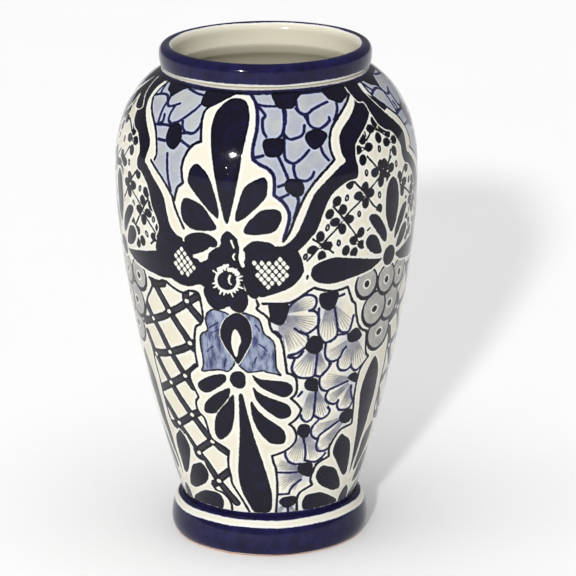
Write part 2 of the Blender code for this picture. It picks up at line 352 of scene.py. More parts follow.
def motif_a(place):
    """The palmettes above and below, the winged flower with its baskets, and the drop."""
    # the wings' lobes, then the flower over them
    fill(place, "navy", [
        (-32.6, 182), (-32.3, 186), (-29, 189), (-24.5, 190), (-20.5, 188), (-18.8, 185), (-19.2, 182),
        (-21.4, 181), (-28.5, 176), (-31.5, 179),
    ])
    fill(place, "navy", [
        (-45.5, 163), (-44, 160), (-36, 155), (-31, 155), (-27.5, 157), (-24, 156), (-20, 160), (-21, 170),
        (-25.5, 172), (-28.5, 175), (-31, 181), (-36, 185), (-43, 186), (-47, 176),
    ])
    fill(place, "navy", [
        (-9, 181), (-5, 186.3), (1, 185.5), (3.3, 183), (5.5, 183), (11.3, 179.5), (13.7, 169), (13, 164),
        (10.5, 159), (6.5, 155), (-2, 151), (-3.2, 152), (-5, 150), (-7.5, 152), (-8.6, 156), (-9.5, 163),
        (-9.5, 170), (-8.3, 176),
    ])
    stroke(place, "ink", [(-3, 151.5), (-3.3, 156), (-4.8, 162), (-6, 170), (-7, 177)], 1.1)
    for outline, start in BASKETS:
        basket(place, outline, start)
    fill(place, "navy", [
        (-10.3, 181), (-10.5, 186), (-12, 189), (-14.6, 192), (-16.6, 190), (-17.5, 187), (-17.6, 183),
        (-20, 181), (-22.4, 178), (-23.3, 174), (-26, 171), (-26.6, 164), (-24.5, 159), (-25.5, 154),
        (-24.8, 149), (-23, 144), (-20.6, 142), (-17.8, 143), (-15.6, 145), (-14.5, 143), (-12, 141),
        (-9.6, 142), (-7.9, 147), (-8, 153), (-9.3, 158), (-8.7, 166),
    ])
    stroke(place, "ink", [(-15.8, 144.8), (-16.4, 148), (-16.2, 151)], 1.0)
    stroke(place, "ink", [(-17.6, 183), (-14.8, 179.5), (-13.5, 175.5)], 1.2)
    # the white crescents between the flower's petals; the widest, beside the bud, is partly a painted
    # highlight
    for points, width in (
        ([(-28.6, 174.8), (-25.6, 175), (-23.8, 177.5), (-21.6, 180.6)], 2.2),
        ([(-26.2, 172.4), (-24.8, 173.4), (-24.2, 175.2)], 1.4),
        ([(-13.4, 186.3), (-12.9, 184.2), (-12.5, 182)], 1.1),
        ([(-9.6, 180.8), (-9, 179.2), (-8.8, 177.8)], 1.6),
        ([(-12.2, 178.2), (-12.9, 176.2), (-12.3, 174.6)], 1.1),
        # partly bare ground and partly a painted highlight: the glaze's reflection left as pale ground
        ([(-10.2, 187), (-9.6, 181), (-10, 175.5), (-9.2, 171)], 2.2),
        ([(-18.8, 168.4), (-17, 169.6), (-15, 170.9)], 2.0),
        ([(-14.6, 168.2), (-12.6, 168), (-11.2, 166)], 2.4),
    ):
        stroke(place, None, points, width)
    # the eye: a white ring, open at the upper right, with ticks round it and a spiral inside
    eye, radius, stretch = np.array([-15.7, 161.2]), 6.7, 1.52
    cells, theta, s, scale = window(place([eye]), 2 * radius)
    centre = place([eye])[0]
    x, y = (theta - centre[0]) * scale, s - centre[1]
    ring = np.abs(np.hypot(x, y) - radius) - 0.85
    gap = (1 - np.abs(np.degrees(np.arctan2(y, x)) - 62) / 48) * 5
    clear(cells, np.maximum(ring, gap))
    for i in range(21):
        a = math.radians(-165 + i * 15.4)
        spoke = np.array([math.cos(a) / stretch, math.sin(a)])
        tick = [eye + spoke * (radius + 0.2), eye + spoke * (9 + 1.2 * math.sin(i * 2.3))]
        stroke(place, None, tick, (1.24, 0.8))
    stroke(place, None, [(-14.3, 164.6), (-14.9, 162.3), (-14.7, 160), (-13.9, 159)], (1.4, 0.7))
    # the stippled wings and the drop
    for wing in (
        [(-20.8, 142), (-23.2, 141), (-25, 138), (-25.5, 133), (-25, 128), (-27.8, 125), (-29, 120),
         (-28.6, 106), (-30, 100), (-26, 101), (-21, 102), (-17.5, 101.5), (-14.2, 109), (-16, 122),
         (-15, 138)],
        [(-9.8, 141), (-6, 139), (-3.7, 136), (-2, 128), (0.2, 125), (2, 122), (2.8, 116), (3.4, 105),
         (5.4, 100), (3, 101), (-0.5, 102), (-2.4, 103), (-8, 101.5), (-10.3, 103), (-13.6, 109),
         (-11, 122), (-11, 138)],
    ):
        fill(place, "mist", wing, edge=1.15)
    for hair in (
        [(-25, 128.5), (-22.5, 131.5), (-19.5, 134.5)], [(-24.5, 126), (-22, 127.5), (-20, 129)],
        [(-26.5, 113), (-25, 115.5), (-23, 117.5)], [(-4.5, 121), (-2, 118.5), (-0.5, 115.5)],
        [(-6, 134), (-4.5, 131.5), (-3.6, 129)], [(-19, 103.5), (-18.8, 107), (-18, 110)],
        [(-6, 107), (-5.6, 110), (-5, 112.5)],
    ):
        stroke(place, "cobalt", hair, 0.9, ends=(0.2, 0.2))
    fill(place, "navy", [
        (-13.5, 107), (-15.2, 111), (-18, 117), (-19.8, 124), (-19.3, 131), (-17, 137), (-13, 141),
        (-9.5, 139), (-7.5, 134), (-6.8, 127), (-7.7, 120), (-12, 108),
    ], reserve=0.3)
    fill(place, None, [
        (-13.6, 111.5), (-15.2, 117), (-15.3, 124), (-14.3, 129), (-13.3, 130), (-12, 127), (-11.5, 122),
        (-12.5, 118),
    ])
    # palmettes
    petal(place, CLUB_UP)
    for outline in UPPER_PETALS:
        petal(place, outline, reserve=0.6)
    petal(place, CLUB_DOWN)
    for outline in LOWER_PETALS:
        petal(place, outline, reserve=0.6)
    petal(place, [
        (-16.8, 98), (-15.5, 101), (-12.5, 102), (-10.2, 100), (-9.8, 95), (-10.8, 91), (-13.2, 90),
        (-15.8, 92), (-17, 95),
    ], reserve=0.6)
    for line in SCALLOP_UP:
        stroke(place, "ink", line, 1.9)
    for line in SCALLOP_UP_RIGHT:
        stroke(place, "cobalt", line, 2.2)
    for line in SCALLOP_DOWN + SCALLOP_DOWN_RIGHT:
        stroke(place, "ink", line, 1.7)


# ------------------------------------------------------------------ the pale fields with daisies
WASH_LEFT = [
    (-13, 277), (-19, 274), (-23, 269), (-27.2, 263), (-27.4, 250), (-26.3, 244), (-30, 239), (-32.8, 231),
    (-32.6, 219), (-35, 214), (-36.6, 207), (-40, 214), (-44, 221), (-47.6, 227), (-46.8, 233), (-48, 240),
    (-51.5, 248), (-57, 255), (-62, 262), (-62.5, 277),
]
DAISY_LEFT = [
    [(-31, 277), (-31.8, 268), (-30.5, 265), (-27, 264.5), (-21, 270), (-17, 275), (-18, 277)],
    [(-42.6, 249), (-43.4, 244), (-42.5, 239), (-40, 236), (-37.5, 236), (-35.5, 240), (-35.2, 245),
     (-38, 251.5)],
    [(-58, 277), (-56.5, 271), (-53, 269), (-50.5, 266), (-48.5, 269), (-46, 273), (-43, 277)],
]
LINES_LEFT = [
    [(-42.5, 275), (-37, 273), (-31.5, 272)], [(-31.2, 265), (-33.5, 260), (-38.5, 253), (-41.5, 251)],
    [(-36.8, 253), (-36.3, 250), (-34, 247), (-30.5, 247), (-28.4, 250), (-27.6, 254)],
    [(-35.4, 246), (-33, 247)], [(-42.4, 263.5), (-47.4, 260.4), (-49.6, 262), (-50.6, 266)],
    [(-44.6, 261), (-45.2, 256), (-44.6, 252), (-42, 250)], [(-43, 240), (-47, 240)],
    [(-42.8, 249), (-46.5, 249), (-51.5, 248)], [(-35.5, 242), (-30.4, 238.6)],
    [(-40.8, 233), (-39.3, 220), (-38, 212)], [(-50.6, 264), (-50.8, 257), (-50.3, 250)],
    [(-48.4, 255), (-47.7, 251), (-49.4, 249)], [(-61.5, 265), (-57, 267), (-53.3, 267), (-50.8, 264)],
    [(-62, 277), (-60, 270), (-58.5, 267)],
]
WASH_RIGHT = [
    (-8, 277), (-4.5, 269), (-3.8, 255), (-5, 240), (-4.6, 235), (0.6, 230), (3.3, 224), (3.2, 214),
    (6, 210), (7.8, 203), (7.4, 193), (6.2, 187), (9, 192), (12, 204), (15.5, 214), (19.5, 221), (24, 228),
    (26.4, 232), (25.3, 240), (26.6, 248), (30.3, 255), (37, 261), (43, 268), (47.5, 277),
]
DAISY_RIGHT = [
    [(3.7, 277), (3.8, 270), (5, 266), (7.5, 265), (11.5, 265), (13.5, 267), (14.6, 270), (17.5, 274),
     (17.7, 277)],
    [(-1.2, 246), (-0.2, 237), (4.5, 236), (6.5, 239), (6.8, 245), (5.5, 247)],
    [(16, 249), (15.5, 245), (17, 241), (19, 239), (22, 241), (24.5, 245), (25, 248), (22, 251),
     (18.5, 251)],
    [(7, 221), (7, 217), (8.8, 214), (11, 212), (13.5, 213), (14.3, 217), (13.3, 221), (10.5, 223),
     (8, 223)],
    [(30.6, 277), (30.3, 270), (32.5, 267), (36, 264.5), (40, 267), (43, 270), (46.5, 277)],
]
LINES_RIGHT = [
    [(-3.6, 268), (0, 267), (4.4, 267)], [(-3, 266), (-0.5, 261), (-1.5, 258), (-1.4, 252), (0, 248)],
    [(5, 247), (6.6, 250), (7.4, 256), (7.6, 265)],
    [(8.4, 264), (7.9, 257), (6.9, 251), (7.6, 248), (9.6, 246), (12.6, 247), (14.8, 249), (15.9, 254)],
    [(13.3, 265), (14.6, 262), (16.6, 260), (17.5, 256)],
    [(14.3, 270), (14, 265), (15, 262), (18, 261), (22, 264), (29.6, 267)],
    [(18, 261), (17.7, 256), (18.8, 253), (21.8, 251), (25.3, 253), (27.3, 255), (27.6, 257)],
    [(34, 265), (32.5, 260), (29.6, 255)],
    [(7, 247), (7, 236), (8.5, 233), (11, 232), (14, 235), (16.6, 239)], [(-3.9, 236), (-1.3, 237)],
    [(4.6, 236), (6.4, 230), (8.2, 223)], [(4.6, 219), (7, 220)], [(4.8, 212), (8.2, 214)],
    [(10.6, 232), (10.4, 228), (11.4, 223), (14.6, 221), (17.1, 223), (18, 226)],
    [(21.5, 240), (22.3, 236), (24.2, 232)], [(11.4, 213), (11.9, 209), (10.2, 200)],
    [(17.2, 275), (22, 275), (29, 275)],
]


def daisies(place, ground, centres, lines):
    """A pale field with the dark middles and outlined petals of its flowers."""
    fill(place, "wash", ground, rounded=False)
    for line in lines:
        stroke(place, "cobalt", line, 1.9)
    for centre in centres:
        fill(place, "navy", centre)


# ------------------------------------------------------------------ the horns from the basket to the lip
STRIP_RIGHT_IN = [
    [(6, 186), (8.3, 191), (12.3, 206), (17.5, 219), (26.5, 232)],
    [(26.5, 232), (25.4, 237), (25.4, 242), (26.9, 249), (30.8, 255), (41, 266), (45.3, 272), (48.2, 277)],
]
HORN_RIGHT = [
    (3.4, 183), (6.5, 183.6), (11.4, 191), (16, 207), (19, 215), (27, 226), (30.9, 230), (29.8, 234),
    (29.5, 241), (31.5, 248), (41, 259), (45.5, 267), (48.6, 277), (51, 277), (53.5, 270), (57, 263),
    (63, 255), (56, 253), (51, 261), (49, 255), (45, 249), (37.5, 240), (36, 236), (35.6, 230), (36.2, 225),
    (35.3, 219), (31, 218), (24, 210), (19, 192), (16.5, 187), (11.3, 179.5), (7, 179),
]
STRIP_LEFT_IN = [
    [(-36.8, 208), (-42, 218), (-49, 227)],
    [(-47.2, 228), (-46.6, 233), (-50, 245), (-58, 256), (-62, 263)],
    [(-62, 263), (-62.3, 269), (-61, 277)],
]
HORN_LEFT = [
    (-33.3, 184), (-36.5, 187), (-39.3, 193), (-41, 206), (-43.5, 212), (-50.5, 223), (-52.6, 226),
    (-51.2, 235), (-53, 241), (-61, 253), (-64.5, 261), (-65.8, 269), (-65.3, 277), (-74, 277), (-74, 264),
    (-70.5, 262), (-70, 255), (-68.3, 247), (-65, 242.5), (-61, 240), (-57.2, 231), (-57.8, 225),
    (-57, 220), (-54, 218), (-51, 213), (-49, 207), (-47.8, 200), (-45.5, 193), (-44.5, 187), (-46, 180),
    (-38, 178),
]


def horn(place, outline, strip):
    """A dark scroll, with the ink line that leaves a strip of bare ground beside it."""
    fill(place, "navy", outline, reserve=0.8)
    for line in strip:
        stroke(place, "ink", line, 1.8)


# ------------------------------------------------------------------ the small four-petalled flowers
SMALL_FLOWERS = [
    [(39, 212.6), (35.8, 208.2), (41.6, 208.4), (39.2, 203.1)],
    [(29, 201.4), (25.8, 194.5), (31.9, 195), (29, 189.6)],
    [(47.5, 223), (44, 219.6), (50.5, 217.4), (47.3, 213.4)],
    [(20, 187), (16.9, 179.5), (23, 180.7), (20.8, 174.9)],
    [(37.5, 185.6), (34.3, 181.3), (38.3, 178), (34.8, 173.8)],
    [(40, 240.4), (36.9, 235), (42.5, 235), (38.7, 228.6)],
    [(45.8, 245.2), (49.3, 248.6), (52.4, 243.7), (48.7, 238.8)],
    [(57.5, 231.3), (54, 228.2), (60.3, 227.4), (56.8, 223)],
    [(26.6, 207), (23.6, 199.8)], [(32, 216.4)], [(46.5, 197.4)], [(31, 176)], [(59, 213)], [(62, 218)],
    [(64, 206)],
]
SMALL_DOTS = [
    (30.7, 208), (39.8, 220.8), (48, 232.4), (46.5, 205.8), (36.3, 197.2), (22.8, 191.6), (27.6, 181.3),
    (14.2, 175.6), (41.8, 243.2), (56.2, 240.4), (60.5, 221.5), (50.4, 254.5),
]
SMALL_LINES = [
    [(15, 173), (20, 181), (27, 191)], [(17, 186), (20.5, 182), (25.5, 176)],
    [(27, 191), (31.5, 199), (36, 204), (39, 208)], [(39, 209), (43.5, 213), (54.5, 226)],
    [(25, 204), (29.3, 196), (36, 183)], [(34, 217), (39, 209), (43, 201), (46, 198)],
    [(41, 230), (44.3, 224), (47.5, 219)], [(40.8, 186), (44.5, 190)],
    [(50.8, 240), (54.8, 234), (57, 228)], [(42, 239), (45.5, 243), (49, 245)],
]


def small_flowers(place, limit):
    """The flowers, rings and stems up to limit, in degrees of the front."""
    for line in SMALL_LINES:
        if line[-1][0] <= limit:
            stroke(place, "ink", line, 1.35)
    for flower in SMALL_FLOWERS:
        if np.mean(flower, axis=0)[0] > limit:
            continue
        middle = np.mean(flower, axis=0)
        for t, s in flower:
            out = (place([(t, s)]) - place([middle]))[0]
            tilt = math.degrees(math.atan2(-out[0] * DEG_TO_MM, out[1]))
            dot(place, "ink", (t, s), (2.8, 3.4), tilt=tilt)
        if len(flower) == 4:
            dot(place, "ink", middle, (1.3, 1.3))
            dot(place, None, (middle[0] - 0.3, middle[1]), (0.75, 0.65))
    for t, s in SMALL_DOTS:
        if t <= limit:
            dot(place, "ink", (t, s), (1.6, 2.3), tilt=15 * math.sin(3 * t))
            dot(place, None, (t, s), (0.5, 0.9))
            dot(place, "shade", (t, s), (0.9, 1.3))


# ------------------------------------------------------------------ motif B: half rosette, scales, drop
AXIS_B = 54.6

B_PETALS = [
    [(54.6, 181), (52.4, 185), (50.6, 193), (50.3, 202), (51.4, 210), (54.6, 214), (57.8, 210),
     (58.9, 202), (58.6, 193), (56.8, 185)],
    [(51.5, 176), (48.5, 179), (42.5, 190), (41.3, 194), (43, 195.5), (46, 194), (49.5, 188), (51.8, 181)],
    [(49.5, 170), (46, 170), (42.5, 173), (40.3, 178), (41, 182), (43, 183), (46, 181), (48.5, 175)],
    [(50, 166), (46, 167), (33, 171), (26, 173), (20.5, 171.5), (17.3, 169), (16.5, 164), (18, 160),
     (22, 157.5), (28, 157), (42, 160), (46.5, 162.5)],
]
B_LOW = [
    [(39.5, 53), (42.5, 50.5), (46, 47), (48.8, 40), (51, 24), (50, 21), (47.5, 21.5), (44, 26),
     (37.3, 38), (36, 43), (37, 49)],
    [(30.5, 33), (35, 31.5), (39.5, 29), (43.5, 23), (46.5, 17), (47.5, 13), (44.5, 12), (40, 13),
     (35, 16), (31, 19), (28, 24), (27.8, 29)],
    [(21, 10), (23, 13), (28, 13.5), (34, 12.5), (45, 6), (48, 3), (49, -3), (35, -4), (26, -3), (22, 2),
     (20.6, 6)],
]
B_DROP = [
    (54.6, 101), (51.7, 97), (49.3, 90), (48.2, 82), (48.5, 72), (53.8, 25), (54.6, 18), (55.4, 25),
    (60.7, 72), (61, 82), (59.9, 90), (57.5, 97),
]


def motif_b(here, there):
    """here draws the rosette's near half and there its mirror image."""
    # scales, the lowest first so that each row overlaps the one below
    for place, centre, half, eye in (
        (here, (54.6, 117.5), (11.6, 11.5), (2.9, 2.1)),
        (there, (48.7, 134.5), (10.6, 11), (2.5, 2.1)),
        (here, (48.7, 134.5), (10.6, 11), (2.5, 2.1)),
        (there, (42.6, 152.5), (8.6, 9.4), (2.1, 2.2)),
        (here, (42.6, 152.5), (8.6, 9.4), (2.1, 2.2)),
        (here, (54.6, 151.5), (8.8, 9.6), (2.1, 2.2)),
    ):
        centre_there = place([centre])[0]
        cells, theta, s, scale = window([centre_there], max(half) + 5)
        x, y = (theta - centre_there[0]) * scale, s - centre_there[1]
        length = np.hypot(x / half[0], y / half[1])
        d = (length - 1) * min(half)
        clear(cells, d - 0.7)
        low = np.clip(0.5 - y / half[1], 0, 1)
        lay("ink", cells, np.abs(d) - 0.7 - 0.5 * low)
        lay("shade", cells, d)
        dot(place, None, (centre[0], centre[1] - 0.5), (eye[0] + 0.9, eye[1] + 0.8))
        dot(place, "ink", (centre[0], centre[1] - 0.5), eye)
    for place in (here, there):
        for outline in B_PETALS[1:3]:
            petal(place, outline, reserve=1.8)
        petal(place, B_PETALS[3], reserve=1.2)
    petal(here, B_PETALS[0], reserve=1.8)
    dot(here, "ink", (15.1, 162.6), (0.9, 1.8), tilt=-10)
    dot(here, "navy", (AXIS_B, 166.4), (6.1, 6.4), reserve=1.3)
    petal(here, B_DROP)
    for place in (here, there):
        for outline in B_LOW:
            petal(place, outline, reserve=1.0)
    petal(here, [
        (49.6, 2), (50.6, 8), (54.6, 12), (58.6, 8), (59.6, 2), (58, -4), (51, -4),
    ])


# ------------------------------------------------------------------ the lower fields
FAN_EDGE = [
    [(-2.3, 147), (6, 146.5), (10, 148), (17.3, 155), (18.8, 155)], [(18.8, 155), (26.5, 152), (33, 153)],
    [(33, 153), (35.5, 144), (37.3, 141), (38.2, 134), (40, 127), (42.5, 123), (45.5, 121)],
    [(45.5, 121), (46.5, 108), (49.3, 103)],
    [(49.3, 103), (46.3, 99), (44.2, 93), (44, 78), (45.4, 62), (45.5, 58)],
    [(45.5, 58), (38, 56), (34, 48), (33.4, 43), (34, 39)], [(34, 39), (27, 35), (24.5, 25), (26, 20)],
    [(26, 20), (22, 18), (19, 16), (17.5, 13), (17.2, 7), (18, -2)],
]
FAN_LINES = [
    [(8, 144), (10.5, 148), (14, 151), (17, 151), (19, 149), (19.3, 145), (18.2, 142), (16.4, 141)],
    [(16.4, 141), (19.3, 140), (20.7, 136), (20.3, 131), (15.4, 126), (10.5, 130)],
    [(13, 128), (16, 125), (16.6, 122)], [(15.2, 117), (12, 114), (8.4, 113)],
    [(2.2, 129), (3.6, 128), (5, 125)],
    [(20.6, 142), (20.6, 128), (22, 122), (24, 119), (27, 120), (29, 122), (29.4, 127), (27.6, 141)],
    [(29.4, 128), (31, 125), (33.2, 124), (35.4, 125), (36.8, 134)], [(29.5, 123), (26.5, 119)],
    [(30, 123), (33.5, 123)], [(28.2, 148), (31.6, 149)], [(36, 118), (34.5, 123)],
    [(11, 110), (9.9, 105), (10.8, 101), (13, 98), (16, 97), (19, 97), (20.3, 99)],
    [(20.9, 112), (20.5, 105), (20.3, 98)], [(20.4, 98), (23, 97), (26.4, 102), (26.6, 106)],
    [(24.6, 119), (24.2, 114), (24.8, 109), (27, 106), (29.6, 106), (31.6, 107.5), (33, 112), (34.4, 114)],
    [(31.5, 108), (30.8, 103), (32.5, 99), (35.5, 98), (37.6, 99), (38.6, 101)],
    [(38.4, 100), (42, 96), (46.8, 100)],
    [(22.7, 97), (22.6, 92), (24, 88), (27, 86), (28.6, 87), (38, 90)], [(23, 97), (26, 101), (27.4, 104)],
    [(14.8, 88), (13.2, 85)], [(21.3, 87), (21.4, 73), (20.8, 69)],
    [(15, 72), (15.8, 69), (18, 67), (20.4, 68)],
    [(21.5, 71), (23.6, 69), (26, 67.5), (28.7, 69), (29.9, 72), (28.6, 75)],
    [(27.6, 86), (26.5, 82), (28.4, 78), (31.6, 76), (34.2, 77)],
    [(34, 78), (33.8, 74), (35.5, 71), (39, 70), (42, 71), (43.4, 75)], [(40.6, 86), (41.4, 81), (43, 76)],
    [(24.4, 67), (21.6, 63), (21.1, 59), (22.2, 56), (24.8, 54), (27, 57), (31.5, 60), (36.4, 63)],
    [(25.6, 54), (25.2, 49), (26.6, 45), (29.6, 44), (32.4, 45), (33.6, 48)],
    [(8.5, 46), (8.9, 43), (11, 39), (14.5, 37), (17.5, 37)],
    [(17.3, 56), (18.8, 50), (19.6, 44), (19.6, 39)], [(19.8, 39), (25.5, 37), (29, 39), (31.4, 42)],
    [(5, 32), (10, 31.5), (16, 31)], [(5.5, 16), (12, 16)], [(11.8, 16), (14, 21), (18.6, 25)],
    [(11.6, 5), (12, -2)], [(26.5, 35), (30, 38)],
]
FAN_CENTRES = [
    [(0.2, 147), (0.2, 140), (0.8, 135), (5.5, 133), (8, 142), (7, 146.6)],
    [(20.5, 151), (20.5, 146), (22, 142), (25, 140), (27.5, 142), (29.2, 150), (27, 152), (23, 152)],
    [(15.3, 118), (16.8, 114), (20, 112), (22.5, 114), (23.3, 117), (22.5, 122), (20.5, 124), (17.8, 124)],
    [(35.4, 123), (34.6, 120), (35.6, 117), (38.5, 116), (41.6, 117), (42.8, 120), (39, 125.5)],
    [(15.5, 92), (16.5, 96), (19.5, 96.5), (21.7, 95), (22, 91), (22.3, 87), (17.5, 88.5)],
    [(37.5, 92), (42, 88), (44, 88), (44.3, 92), (42, 95), (39, 94.5)],
    [(36.5, 67), (36.8, 63), (40, 60), (43.5, 60), (45, 64), (44.5, 68), (41, 70), (38, 69)],
    [(13.7, 60), (14.8, 65), (18, 65.5), (20.3, 63), (20.5, 59), (19.5, 56), (16.5, 56)],
    [(16, 33), (16.5, 37), (20, 37.5), (24, 37), (25, 33), (24.7, 28), (22.5, 26.5), (17.3, 30)],
    [(6, 9.5), (7.5, 13), (11, 14), (15, 14), (17, 12), (16.5, 8), (14, 6), (10, 5)],
]
FAN_STREAKS = [
    ((3.8, 140), (18.5, 148), 14), ((3.8, 139), (19.5, 131), 14), ((4, 139), (14.5, 118), 15),
    ((4, 139), (8.5, 116), 12), ((24.5, 146), (25, 121), 13), ((25, 146), (34, 126), 13),
    ((19.5, 118), (14, 98.5), 17), ((20, 118), (23.5, 98.5), 10), ((38, 120), (26, 108), 13),
    ((38, 120), (34.5, 99.5), 14), ((38, 121), (43.5, 98.5), 15), ((19.5, 91), (17.5, 68.5), 11),
    ((20, 91), (27, 69.5), 12), ((41, 91), (24.5, 93.5), 12), ((41, 90), (28.5, 79), 10),
    ((41, 90), (38.5, 71.5), 12), ((41, 65), (23, 60), 9), ((41, 65), (27.5, 47), 9),
    ((17, 60), (13.5, 39), 15), ((17.5, 60), (26.5, 40.5), 11), ((20.5, 32), (4, 38), 9),
    ((20.5, 31), (5, 24), 14), ((20.5, 31), (13, 18.5), 9), ((11, 10), (4.5, 1), 9), ((11, 10), (16, 0), 8),
]
FAN_REGION = sum(FAN_EDGE, []) + sum(SCALLOP_DOWN_RIGHT, [])[::-1]


def fans(place):
    """Fan-shaped flowers, whose hairs and tint stop at the edge of their field."""
    for centre, tip, spread in FAN_STREAKS:
        streaks(place, centre, tip, spread)
    region = place(FAN_REGION)
    cells, theta, s, scale = window(region, MARGIN)
    outside = shape_distance(region, theta, s, scale)
    for layer in ("streak", "tint"):
        canvas[layer][cells] = np.maximum(canvas[layer][cells], outside + 0.5)
    for line in FAN_LINES:
        stroke(place, "cobalt", line, 1.7)
    for centre in FAN_CENTRES:
        fill(place, "navy", centre)
    for line in FAN_EDGE:
        stroke(place, "ink", line, 1.8)
    stroke(place, "cobalt", [(8.2, 112), (12, 111), (14.5, 114.6)], 1.8)


STRAP_HALF = 2.5
BANDS = [
    [(-63, 122), (-48, 131), (-43.5, 135), (-38, 139.3), (-28.5, 149)],
    [(-60, 103), (-50, 106), (-38, 113), (-32.3, 118)], [(-60.6, 79), (-48, 87), (-38, 95.5), (-32.5, 102)],
    [(-58, 56), (-51.5, 58), (-35, 70.3)], [(-41, 42), (-36, 46), (-30, 51)],
    [(-30.5, 23), (-26.5, 27), (-22.3, 31)], [(-35.5, 19), (-30.5, 22)], [(-51.5, 151), (-45, 153)],
    [(-50, 151), (-43.5, 137), (-38.5, 127), (-32.3, 114)],
    [(-58, 135), (-54.8, 127), (-50.3, 118), (-46.5, 109), (-36.2, 87)],
    [(-62.5, 115), (-58.2, 103), (-45.5, 76), (-35.3, 59), (-30.5, 52), (-26, 47), (-22, 44)],
    [(-60.6, 73), (-46.5, 49), (-43, 42)], [(-41, 40), (-36, 33), (-30.5, 22), (-21, 8)],
    [(-33.5, 150), (-33.5, 144), (-27.5, 134)],
]
KNOTS = [
    (-43.4, 135.8), (-33.4, 145), (-55, 127), (-34.2, 117.3), (-46.7, 107.8), (-58.1, 102.4), (-39.6, 94),
    (-50.5, 85.8), (-40.2, 66.8), (-51.4, 58.4), (-41, 40.2), (-30, 50.4), (-30.6, 22.3),
]
LATTICE_EDGE = [
    [(-53.5, 154), (-48, 153.5), (-44.2, 155), (-40, 152), (-35, 150), (-32, 152)],
    [(-53.2, 154), (-52, 150), (-53.4, 146), (-57, 139.5), (-61, 128), (-64.5, 121)],
    [(-64, 116), (-61.4, 108), (-60.9, 100), (-60.4, 85), (-60.2, 65), (-58.8, 57)],
    [(-58.8, 57), (-56.5, 54), (-52.5, 53), (-49, 52)], [(-44.5, 42), (-43.6, 38), (-41, 36), (-38.5, 36)],
    [(-36, 19), (-33.5, 15), (-29.5, 14), (-25.5, 9), (-24.6, 3), (-26, -2)],
]
LATTICE_REGION = LATTICE_EDGE[0] + sum(SCALLOP_DOWN, []) + sum(LATTICE_EDGE[1:], [])[::-1]


def band_lattice(place):
    """Crossed straps with knots of bare ground, cut off at the edge of their field."""
    before = {name: canvas[name].copy() for name in ("ink", "smoke")}
    for name in before:
        canvas[name][:] = FAR
    for line in BANDS:
        strap = smooth(place(line))
        cells, theta, s, scale = window(strap, STRAP_HALF + MARGIN)
        d = line_distance(strap, np.full(len(strap), STRAP_HALF), theta, s, scale)
        lay("smoke", cells, d)
        lay("ink", cells, np.abs(d + 0.6) - 0.7)
    for knot in KNOTS:
        dot(place, None, knot, (1.6, 1.35))
    region = place(LATTICE_REGION)
    cells, theta, s, scale = window(region, MARGIN)
    outside = shape_distance(region, theta, s, scale)
    for name, old in before.items():
        new = np.maximum(canvas[name][cells], outside)
        canvas[name][:] = old
        lay(name, cells, new)
    for line in LATTICE_EDGE:
        stroke(place, "ink", line, 1.8)


# ------------------------------------------------------------------ the whole wall
SPAN_RIGHT = AXIS_B - AXIS_A
SPAN_LEFT = 60.0
AXES_A = [AXIS_A, 106.0, 226.5]
AXES_B = [AXIS_B, 171.0, 286.5]
LEANS = [0.0, 3.0, 9.5]  # how far each rosette's drop swings round at its foot, in degrees
# distances up the wall: the cobalt line and its ink edge under the neck, the bare ground over them, and
# the line above the foot
NECK_INK, NECK_LINE, NECK_BARE, FOOT_LINE = 275.5, 277.4, 279.3, 1.9


def paint_wall():
    """Three turns of the pattern. What lies over something else is painted after it."""
    rights, lefts, heres, theres = [], [], [], []
    for k in range(3):
        before = AXES_B[k - 1] - (360 if k == 0 else 0)
        right = (AXES_B[k] - AXES_A[k]) / SPAN_RIGHT
        left = (AXES_A[k] - before) / SPAN_LEFT
        rights.append(Place(AXES_A[k], AXIS_A, right, right))
        lefts.append(Place(AXES_A[k], AXIS_A, left, 1.0 if k == 1 else left))
        after = (AXES_A[(k + 1) % 3] + (360 if k == 2 else 0) - AXES_B[k]) / SPAN_LEFT
        heres.append(Place(AXES_B[k], AXIS_B, right, right, lean=LEANS[k]))
        theres.append(Place(AXES_B[k], AXIS_B, after, after, flip=True, lean=LEANS[k]))
    for k in range(3):
        small_flowers(rights[k], 56)
        mirrored = Place(AXES_A[k], AXIS_A, 0.93 * lefts[k].low, 0.95 * lefts[k].high, flip=True)
        small_flowers(mirrored, 49)
    for k in range(3):
        fans(rights[k])
        band_lattice(lefts[k])
        motif_b(heres[k], theres[k])
        daisies(rights[k], WASH_RIGHT, DAISY_RIGHT, LINES_RIGHT)
        daisies(lefts[k], WASH_LEFT, DAISY_LEFT, LINES_LEFT)
        stroke(rights[k], "cobalt", [
            (3, 214), (6, 210), (8, 205), (8.4, 199), (6.3, 187.5),
        ], 2.2)
        horn(rights[k], HORN_RIGHT, STRIP_RIGHT_IN)
        horn(lefts[k], HORN_LEFT, STRIP_LEFT_IN)
    for k in range(3):
        motif_a(Place(AXES_A[k], AXIS_A, 1 if k == 0 else 0.95, 1))
    # the lines round the neck and above the foot
    wave = 0.25 * np.sin(np.radians(np.arange(CANVAS_COLUMNS) * DEG_PER_COLUMN * 5))
    up = CANVAS_S[:, None] - wave
    for layer in LAYERS:
        canvas[layer] = np.maximum(canvas[layer], np.maximum(up - NECK_BARE, FOOT_LINE - up))
    lines = np.minimum(np.abs(up - NECK_LINE) - 1.7, up - FOOT_LINE)
    canvas["cobalt"] = np.minimum(canvas["cobalt"], lines)
    canvas["ink"] = np.minimum(canvas["ink"], np.abs(up - NECK_INK) - 0.45)


